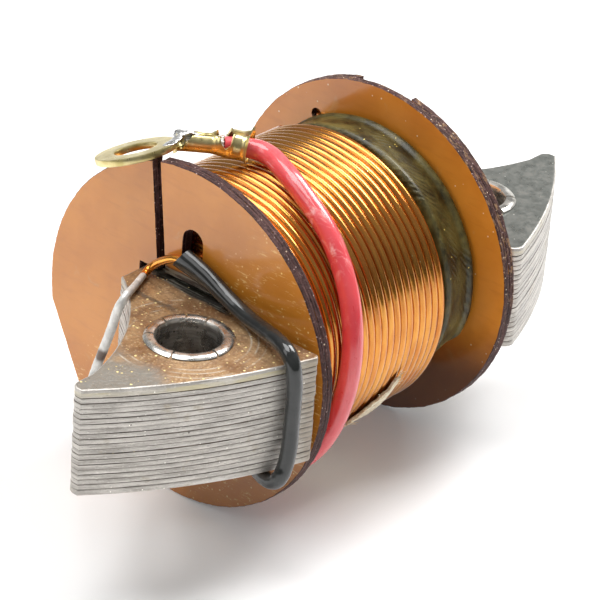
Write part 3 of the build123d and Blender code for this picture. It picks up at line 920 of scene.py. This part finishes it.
def tape():
    """The cloth tape under the winding: pressed over the turns, with a frayed edge."""
    steps, across = 90, 26
    width = tape_high.x - tape_low.x
    grids = ([], [])
    random.seed(7)
    for layer, grid in enumerate(grids):
        for i in range(steps + 1):
            share = i / steps
            angle = TAPE_FROM + (TAPE_TO - TAPE_FROM) * share
            ragged = 0.30 * MM * drift(angle * 0.55, 2, 0)
            ragged += 0.12 * MM * drift(angle * 3, 2, 0)
            other = 0.30 * MM * drift(angle * 0.5, 9, 0)
            line = []
            for k in range(across + 1):
                s = k / across
                x = tape_low.x + width * s + ragged * (1 - s) + other * s
                early = 3 * drift(s * 5, 4, 0) - TAPE_SLANT * s
                press = 0.05 * MM * math.cos(2 * math.pi * (x - tape_low.x) / PITCH)
                lift = 0.16 * MM * max(0, 0.06 - share) / 0.06 * (1 + drift(s * 9, 1, 0))
                line.append(around(TAPE_R + press + lift + layer * TAPE_T, angle + early * (1 - share), x))
            grid.append(line)
    parts = [sheet_between(*grids)]
    # loose threads at the frayed edge
    for n in range(LOOSE_THREADS):
        s = random.uniform(0, 1)
        start = TAPE_FROM + random.uniform(-3, 2) - TAPE_SLANT * s
        x = tape_low.x + width * s
        away = random.uniform(2, 6)
        lean = random.uniform(-0.9, 0.9) * MM
        rise = random.uniform(0.02, 0.8) * MM
        points = []
        for i in range(9):
            t = i / 8
            points.append(around(TAPE_R + 0.16 * MM + rise * t * t, start + 4 - away * t, x + lean * t * t))
        parts.append(tube_mesh(points, lambda i, turn: 0.055 * MM * (1 - 0.07 * i), 5))
    piece("cloth_tape_wrap", *joined(parts), COTTON, ["cloth_tape"], "cotton_tape")


tape()


# ---- red output lead ----

LEAD_R = 1.05 * MM
LEAD_ROUTE = [
    (-2.4, 23.2, 3.8), (-3.4, 22.5, -0.7), (-5.6, 17.3, -7.3), (-7.6, 9.3, -10.5), (-8.6, 0.9, -9.3),
    (-8.8, -6.1, -3.9), (-8.5, -9.3, 4.1), (-7.2, -8.3, 12.1), (-5.9, -4.0, 18.3), (-5.2, 1.4, 21.5),
    (-4.3, 4.6, 22.35), (-3.5, 6.7, 22.5), (-3.9, 8.55, 22.72), (-6.0, 10.55, 23.03),
]

lead_curve = bpy.data.curves.new("red_lead", "CURVE")
lead_curve.dimensions = "3D"
lead_curve.bevel_depth = LEAD_R
lead_curve.bevel_resolution = 8
lead_curve.resolution_u = 24
lead_curve.use_fill_caps = True
nurbs(lead_curve, LEAD_ROUTE)
lead_curve.splines[0].points[-1].radius = 0.78
lead_curve.materials.append(RED)
red_lead = bpy.data.objects.new("red_lead", lead_curve)
show(red_lead)
settled(red_lead, ["output_lead"])

# the joint between the winding's end and the lead, wound with tape
joint_way = (Vector(LEAD_ROUTE[0]) - Vector(LEAD_ROUTE[1])).normalized()
joint_start = Vector(LEAD_ROUTE[0]) * MM - joint_way * 1.2 * MM
JOINT_L = 4.4 * MM
JOINT_STEPS = 30
joint_points = [joint_start + joint_way * JOINT_L * i / JOINT_STEPS for i in range(JOINT_STEPS + 1)]


def joint_radius(i, turn):
    t = i / JOINT_STEPS
    ends = min(1.0, 5 * t + 0.72, 6 * (1 - t) + 0.25)
    return 1.22 * MM * ends + 0.05 * MM * ((t * 6 + turn) % 1 < 0.16)


piece("lead_joint_tape", *tube_mesh(joint_points, joint_radius, 24), COTTON, ["lead_joint"], "cotton_tape")


# ---- ring terminal ----

RING_CENTRE = Vector((-12.8, 15.86, 22.48)) * MM
RING_TILT = math.radians(21.6)
RING_R = 4.1 * MM
EYE_R = 2.15 * MM
STRIP_T = 0.7 * MM
RING_SIDES = 96
BARREL_START = Vector((-9.1, 13.3, 23.45)) * MM
BARREL_WAY = Vector((4.5, -4.0, -0.6)).normalized()
BARREL_R = 1.02 * MM
BARREL_L = 3.5 * MM

ring_up = Vector((0, math.sin(RING_TILT), math.cos(RING_TILT)))
ring_along = BARREL_START - RING_CENTRE
ring_along = (ring_along - ring_up * ring_along.dot(ring_up)).normalized()
ring_across = ring_up.cross(ring_along)
barrel_up = (Z_AXIS - BARREL_WAY * Z_AXIS.dot(BARREL_WAY)).normalized()
barrel_across = BARREL_WAY.cross(barrel_up)


def on_ring(along, across, up):
    return RING_CENTRE + ring_along * along + ring_across * across + ring_up * up


def ring_plate():
    """The terminal's flat ring, with edges rounded by the press."""
    # round each rim: (millimetres in from the rim, share of the thickness)
    eye_low = ((0, -0.38), (0.04, -0.46), (0.12, -0.5))
    rim = ((0.12, -0.5), (0.03, -0.44), (0, -0.34), (0, 0.36), (0.03, 0.46), (0.10, 0.5), (0.3, 0.5))
    eye_high = ((0.3, 0.5), (0.10, 0.5), (0.03, 0.46), (0, 0.38))
    profile = [(EYE_R + inset * MM, up) for inset, up in eye_low]
    profile += [(RING_R - inset * MM, up) for inset, up in rim]
    profile += [(EYE_R + inset * MM, up) for inset, up in eye_high]
    rows = []
    for i in range(RING_SIDES):
        a = 2 * math.pi * i / RING_SIDES
        rows.append([on_ring(r * math.cos(a), r * math.sin(a), up * STRIP_T) for r, up in profile])
    return swept(rows, len(profile), closed=True)


# the strip from the ring to the insulation crimp: millimetres along the barrel's line, half the
# angle that it wraps, its outer radius, and how far its floor is above the barrel's
STRIP_STATIONS = [
    (-0.1, 62, 1.30, 0.0), (0.5, 118, 1.10, 0.0), (1.1, 168, 1.04, 0.0), (2.0, 173, 1.00, 0.0),
    (2.8, 172, 1.02, 0.0), (3.25, 163, 1.16, -0.03), (3.5, 140, 1.28, -0.06), (3.75, 104, 1.32, -0.12),
    (4.15, 88, 1.36, -0.22), (4.55, 104, 1.44, -0.3), (4.8, 150, 1.52, -0.3), (5.1, 167, 1.50, -0.38),
    (6.2, 166, 1.48, -0.42), (6.9, 158, 1.58, -0.48), (7.4, 148, 1.86, -0.66),
]
STRIP_WALL = 0.34 * MM
MOUTH_SLANT = 1.3 * MM
NECK_HALF = 0.8
NECK_CURL = 12


def strip_at(s):
    """The strip's half angle, radius and floor at s, smoothed between its stations."""
    for before, after in zip(STRIP_STATIONS, STRIP_STATIONS[1:]):
        if s <= after[0]:
            break
    t = max(0.0, min(1.0, (s - before[0]) / (after[0] - before[0])))
    ease = t * t * (3 - 2 * t)
    return [a + (b - a) * ease for a, b in zip(before[1:], after[1:])]


def curled_strip():
    """The strip from the ring into the barrel, the open trough and the insulation crimp, in one piece."""
    steps, across = 96, 40
    first, last = STRIP_STATIONS[0][0], STRIP_STATIONS[-1][0]
    first_half, first_radius = STRIP_STATIONS[0][1:3]
    neck_rows = 14
    start = on_ring(RING_R - 0.6 * MM, 0, -0.22 * MM)
    floor_start = BARREL_START + BARREL_WAY * first * MM - barrel_up * BARREL_R
    fall = ring_up * ring_up.dot(floor_start - start)
    grids = ([], [])
    for i in range(neck_rows + steps + 1):
        done = (i - neck_rows) / steps
        if done < 0:
            # flat at the ring, then curling up
            t = i / neck_rows
            ease = t * t * (3 - 2 * t)
            floor = start.lerp(floor_start, t) + fall * (ease - t)
            up = ring_up.lerp(barrel_up, ease).normalized()
            side = ring_across.lerp(barrel_across, ease).normalized()
            half_width = NECK_HALF + (math.radians(first_half) * first_radius - NECK_HALF) * ease
            half = NECK_CURL + (first_half - NECK_CURL) * ease
            radius = half_width / math.radians(half) * MM
            wall = (0.5 * (1 - ease)) * MM + STRIP_WALL * ease
        else:
            s = first + (last - first) * done
            half, radius, drop = strip_at(s)
            radius *= MM
            floor = BARREL_START + BARREL_WAY * s * MM - barrel_up * (BARREL_R - drop * MM)
            up, side, wall = barrel_up, barrel_across, STRIP_WALL
        half = math.radians(half)
        ripple = 0.03 * MM * drift(i * 0.11, 4, 2)
        for grid, inset in zip(grids, (0, wall)):
            line = []
            for k in range(across + 1):
                share = 2 * k / across - 1
                a = half * share
                # the strip's two edges dip in where they meet
                tuck = 0.16 * MM * max(0.0, abs(share) - 0.9) / 0.1 * (half > 2.7)
                r = radius - inset - tuck + ripple * share
                # the crimp's mouth is cut back on the side away from the coil's end
                back_off = MOUTH_SLANT * max(0.0, done - 0.7) / 0.3 * (0.5 + 0.5 * math.sin(a))
                out = side * math.sin(a) - up * math.cos(a)
                line.append(floor + up * radius + out * r - BARREL_WAY * back_off)
            grid.append(line)
    return sheet_between(*grids)


terminal = piece("brass_ring_terminal", *joined([ring_plate(), curled_strip()]), BRASS, ["ring_terminal"],
                 "terminal_brass")


def blob(middle, axes, scale, rough, seed):
    """A lump: a round mesh stretched along three directions, then roughened."""
    bm = bmesh.new()
    bmesh.ops.create_icosphere(bm, subdivisions=4, radius=1)
    for v in bm.verts:
        n = v.co.copy()
        swell = 1 + rough * noise.noise(n * scale + Vector((seed, 0, 0)))
        swell += 0.4 * rough * noise.noise(n * scale * 2.7)
        v.co = middle + (axes[0] * n.x + axes[1] * n.y + axes[2] * n.z) * swell
    verts = [v.co.copy() for v in bm.verts]
    faces = [tuple(v.index for v in f.verts) for f in bm.faces]
    bm.free()
    return verts, faces


def solder_band():
    """The solder: a flat, wavy band from the ring's face up and over the front of the barrel."""
    way = [on_ring(3.0 * MM, -2.1 * MM, STRIP_T * 0.44), on_ring(3.7 * MM, -1.2 * MM, STRIP_T * 0.48),
           on_ring(4.3 * MM, -0.3 * MM, STRIP_T * 0.62),
           on_ring(4.6 * MM, 0.4 * MM, STRIP_T * 0.5 + 0.45 * MM),
           BARREL_START + BARREL_WAY * 0.1 * MM + barrel_up * 0.78 * MM,
           BARREL_START + BARREL_WAY * 0.7 * MM + barrel_up * 0.95 * MM,
           BARREL_START + BARREL_WAY * 1.2 * MM + barrel_up * 0.86 * MM]
    lumps = []
    for n in range(15):
        at = n / 14 * (len(way) - 1)
        i = min(int(at), len(way) - 2)
        middle = way[i].lerp(way[i + 1], at - i)
        along = (way[i + 1] - way[i]).normalized()
        across = ring_up.cross(along).normalized()
        wide = (0.60 - 0.014 * n + 0.08 * math.sin(n * 2.3)) * MM
        high = (0.21 + 0.03 * math.sin(n * 1.7)) * MM
        lumps.append(blob(middle, (along * 0.55 * MM, across * wide, ring_up * high), 1.1, 0.12, n))
    return joined(lumps)


solder = piece("terminal_solder_lump", *solder_band(), SOLDER, ["terminal_solder"], "solder")


def strand_bundle():
    """The lead's bare strands in the terminal, with a light twist, and one that has sprung out."""
    length = (Vector(LEAD_ROUTE[-1]) * MM - BARREL_START).length - 0.1 * MM
    parts = []
    for n in range(8):
        ring = 0.0 if n == 0 else 0.40 * MM
        points = []
        for i in range(25):
            t = i / 24
            a = 2 * math.pi * n / 7 + 1.6 * t
            at = BARREL_START + BARREL_WAY * (0.3 * MM + (length - 0.3 * MM) * t)
            points.append(at + (barrel_up * math.cos(a) + barrel_across * math.sin(a)) * ring)
        parts.append(tube_mesh(points, lambda i, turn: 0.19 * MM, 8))
    spring = []
    for s in [i / 10 for i in range(11)]:
        aside = 0.35 + 0.75 * math.sin(math.pi * s) - 0.3 * s
        along = BARREL_START + BARREL_WAY * (BARREL_L + s * 1.5 * MM)
        spring.append(along + barrel_up * (0.62 - 0.25 * s) * MM - barrel_across * aside * MM)
    parts.append(tube_mesh(spring, lambda i, turn: 0.09 * MM, 6))
    return joined(parts)


strands = piece("bare_strands", *strand_bundle(), TINNED, ["lead_strands"], "bare_copper")


# ---- earth wire in its black sleeve ----

SLEEVE_R = 0.8 * MM
SLEEVE_BORE_R = 0.55 * MM
MOUTH_STRETCH = 0.6
MOUTH_POINTS = 60
EARTH_R = 0.42 * MM
TAIL_R = 0.47 * MM
SLEEVE_ROUTE = [
    (-13.2, 6.7, -3.6), (-15.2, 6.5, -3.5), (-15.9, 3.6, -1.8), (-15.9, -0.9, -0.8), (-17.3, -4.6, -0.7),
    (-19.5, -8.2, -0.75), (-19.9, -10.6, -0.3), (-18.9, -10.85, 2.3), (-18.6, -10.65, 6.4),
    (-18.7, -10.8, 10.3), (-18.75, -10.2, 12.95), (-17.85, -7.8, 13.3), (-16.9, -5.1, 13.0),
    (-16.0, -2.3, 12.8), (-15.35, 1.0, 13.35), (-15.15, 4.3, 14.6), (-15.15, 7.2, 15.15),
]
EARTH_ROUTE = SLEEVE_ROUTE[:-1] + [
    (-15.15, 7.6, 15.0), (-15.15, 9.3, 14.1), (-15.15, 10.8, 12.9), (-15.8, 11.1, 12.25),
    (-16.6, 10.75, 12.25),
]
TAIL_ROUTE = [
    (-16.6, 10.75, 12.25), (-18.9, 9.75, 12.3), (-20.6, 9.05, 12.45), (-21.5, 9.1, 11.6),
    (-21.0, 10.0, 10.0), (-20.3, 11.1, 7.8), (-19.95, 12.2, 5.2), (-20.1, 13.1, 2.4), (-21.4, 12.9, 0.2),
    (-24.2, 10.3, -0.6), (-27.2, 6.9, -0.7), (-29.6, 3.6, -0.5), (-30.6, 0.3, -0.15),
]

sleeve_line = route_points("earth_sleeve", SLEEVE_ROUTE)


def sleeve_mesh():
    """The sleeve with its bore, cut on the slant at its open end."""
    sides = 28
    total = len(sleeve_line)
    rows = []
    for i, (p, (t, u, v)) in enumerate(zip(sleeve_line, frames(sleeve_line))):
        swell = 1 + 0.02 * drift(i * 0.15, 0, 0)
        mouth = max(0.0, 1 - (total - 1 - i) / MOUTH_POINTS) ** 1.5
        for radius in (SLEEVE_R * swell, SLEEVE_BORE_R):
            row = []
            for k in range(sides):
                a = 2 * math.pi * k / sides
                side = u * math.cos(a) + v * math.sin(a)
                # the mouth is pressed flat, standing on edge
                side.z *= 1 + MOUTH_STRETCH * mouth
                # the cut leans back: what is low at the mouth reaches further than what is high
                slant = max(0.0, 1 - (total - 1 - i) / 40) * 0.42 * MM * side.z
                row.append(p + side * radius - t * slant)
            rows.append(row)
    verts = [v for row in rows for v in row]
    faces = []
    for i in range(total - 1):
        a, b = 2 * i * sides, 2 * (i + 1) * sides
        faces += ring_faces(a, b, sides) + ring_faces(a + sides, b + sides, sides)
    for a in (0, 2 * (total - 1) * sides):
        faces += ring_faces(a, a + sides, sides)
    return verts, faces


earth_sleeve = piece("black_earth_sleeve", *sleeve_mesh(), BLACK, ["earth_sleeve"], "black_sleeving")

earth_line = route_points("earth_wire", EARTH_ROUTE[:-1] + TAIL_ROUTE[1:])
tinned_from = min(range(len(earth_line)), key=lambda i: (earth_line[i] - Vector(TAIL_ROUTE[0]) * MM).length)
WIRE_SIDES = 20


def earth_radius(i, turn):
    """Smooth enamel, then an uneven coat of solder."""
    if i < tinned_from:
        return EARTH_R * (1 - 0.18 * max(0.0, 1 - (tinned_from - i) / 12))
    lumps = 0.07 * drift(i * 0.12, 0, 0) + 0.04 * drift(i * 0.5, turn * 3, 4)
    return TAIL_R * (min(1, 0.72 + 0.0035 * (i - tinned_from)) + lumps)


verts, faces = tube_mesh(earth_line, earth_radius, WIRE_SIDES)
tinned = [int(min(face) // WIRE_SIDES >= tinned_from) for face in faces]
earth_wire = piece("earth_wire_with_tinned_tail", verts, faces, [ENAMEL_EARTH, TINNED],
                   ["earth_wire", "earth_wire_tail"], "enamelled_copper", tinned)

joint_low, joint_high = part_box("earth_solder")
joint_middle = (joint_low + joint_high) / 2
lump_axes = (X_AXIS * 1.3 * MM, Y_AXIS * 1.1 * MM, Z_AXIS * 0.5 * MM)
earth_solder = piece("earth_solder_lump", *blob(joint_middle + Z_AXIS * 0.15 * MM, lump_axes, 1.6, 0.25, 3),
                     SOLDER, ["earth_solder"], "solder")


# ---- tube rivets ----

BORE_R = 3.2 * MM
RIVET_R = 3.78 * MM
LIP_R = 4.4 * MM
LIP = 0.4 * MM
PETAL_EDGES = [14, 47, 84, 131, 199, 262, 312]


def revolved(middle_x, profile, start, end, steps):
    """A profile of (radius, z) turned about a rivet's axis from start to end degrees, closed at its ends."""
    whole = end - start >= 360
    rows = []
    for i in range(steps if whole else steps + 1):
        a = math.radians(start + (end - start) * i / steps)
        rows.append([Vector((middle_x + r * math.cos(a), r * math.sin(a), z)) for r, z in profile])
    return swept(rows, len(profile), closed=whole)


for end, x in (("near", -HOLE_X), ("far", HOLE_X)):
    random.seed(13 if x < 0 else 29)
    barrel = [(BORE_R, STACK_TOP - 0.1 * MM), (RIVET_R, STACK_TOP - 0.1 * MM), (RIVET_R, LIP), (LIP_R, LIP),
              (LIP_R, LIP * 0.45), (LIP_R - 0.2 * MM, 0.02 * MM), (BORE_R + 0.25 * MM, 0), (BORE_R, 0.2 * MM)]
    parts = [revolved(x, barrel, 0, 360, 72)]
    for a, b in zip(PETAL_EDGES, PETAL_EDGES[1:] + [PETAL_EDGES[0] + 360]):
        tilt = random.uniform(-0.05, 0.05) * MM
        reach = random.uniform(-0.10, 0.04) * MM
        top = STACK_TOP + LIP + tilt
        edge = LIP_R + reach
        lip = [(BORE_R, STACK_TOP - 0.12 * MM), (BORE_R + 0.02 * MM, STACK_TOP + 0.12 * MM),
               (BORE_R + 0.14 * MM, top - 0.07 * MM), (BORE_R + 0.38 * MM, top),
               (edge - 0.42 * MM, top - 0.02 * MM), (edge - 0.14 * MM, top - 0.12 * MM),
               (edge, STACK_TOP + 0.10 * MM), (edge - 0.1 * MM, STACK_TOP),
               (RIVET_R, STACK_TOP - 0.02 * MM), (RIVET_R, STACK_TOP - 0.12 * MM)]
        gap = random.uniform(1.2, 2.2)
        parts.append(revolved(x, lip, a + gap, b - gap, 18))
    piece(f"rivet_{end}", *joined(parts), RIVET, [f"tube_rivet_{end}"], "rivet_steel")


# ---- CAD pieces that stay, with better materials ----

for name in ("core_insulation", "layer_paper"):
    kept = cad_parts[name]
    kept.data.materials.clear()
    kept.data.materials.append(PAPER)
    soften = kept.modifiers.new("edge", "BEVEL")
    soften.width = 0.06 * MM
    soften.segments = 2
    soften.limit_method = "ANGLE"


# ---- floor and light ----

FLOOR_HALF = 3.0
floor_mesh = bpy.data.meshes.new("floor")
corners = [(x * FLOOR_HALF, y * FLOOR_HALF, FLOOR_Z) for x, y in ((-1, -1), (1, -1), (1, 1), (-1, 1))]
floor_mesh.from_pydata(corners, [], [(0, 1, 2, 3)])
floor = bpy.data.objects.new("floor", floor_mesh)
floor_look = Look("floor", Roughness=0.75, Emission_Strength=0.13, Emission_Color=(1, 1, 1))
floor_look.base(floor_look.noise(9, detail=2), (0.76, 0.757, 0.752), (0.79, 0.79, 0.79))
floor_mesh.materials.append(floor_look.finished())
show(floor)
floor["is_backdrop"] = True


def softbox(name, way, distance, size, power):
    """A large light that faces the coil, with its way from the coil, distance, width and height, and watts."""
    data = bpy.data.lights.new(name, "AREA")
    data.shape = "RECTANGLE"
    data.size, data.size_y = size
    data.energy = power
    light = bpy.data.objects.new(name, data)
    way = Vector(way).normalized()
    light.location = COIL + way * distance
    light.rotation_mode = "QUATERNION"
    light.rotation_quaternion = (-way).to_track_quat("-Z", "Y")
    show(light)


softbox("overhead", (-0.15, 0.25, 1.0), 0.75, (0.5, 0.5), 5.2)
softbox("right", (0.64, -0.08, 0.76), 0.70, (0.34, 0.42), 5.5)
softbox("back_left", (-0.75, 0.40, 0.60), 0.9, (0.45, 0.45), 1.35)

world = bpy.data.worlds.new("studio")
bpy.context.scene.world = world
world.use_nodes = True
sky = Nodes(world.node_tree, "Background", "Generated")
height = sky.axis("Z")
ramp = sky.node("ShaderNodeValToRGB")
sky.join(height, ramp.inputs["Fac"])
horizon, top = ramp.color_ramp.elements
horizon.position, horizon.color = 0.02, (0.12, 0.11, 0.105, 1)
top.position, top.color = 0.55, (0.95, 0.95, 0.95, 1)
# a pale backdrop low behind the object, opposite the camera
behind = sky.step(sky.along((0.68, 0.73, 0)), 0.35, 0.85, kind="LINEAR")
band_height = sky.step(height, 0.42, 0.10, kind="LINEAR")
sky.set("Color", sky.mix(sky.times(behind, band_height), ramp.outputs["Color"], (2.6, 2.6, 2.5)))
sky.set("Strength", 0.32)

bpy.context.scene.view_settings.view_transform = "Standard"

low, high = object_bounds()
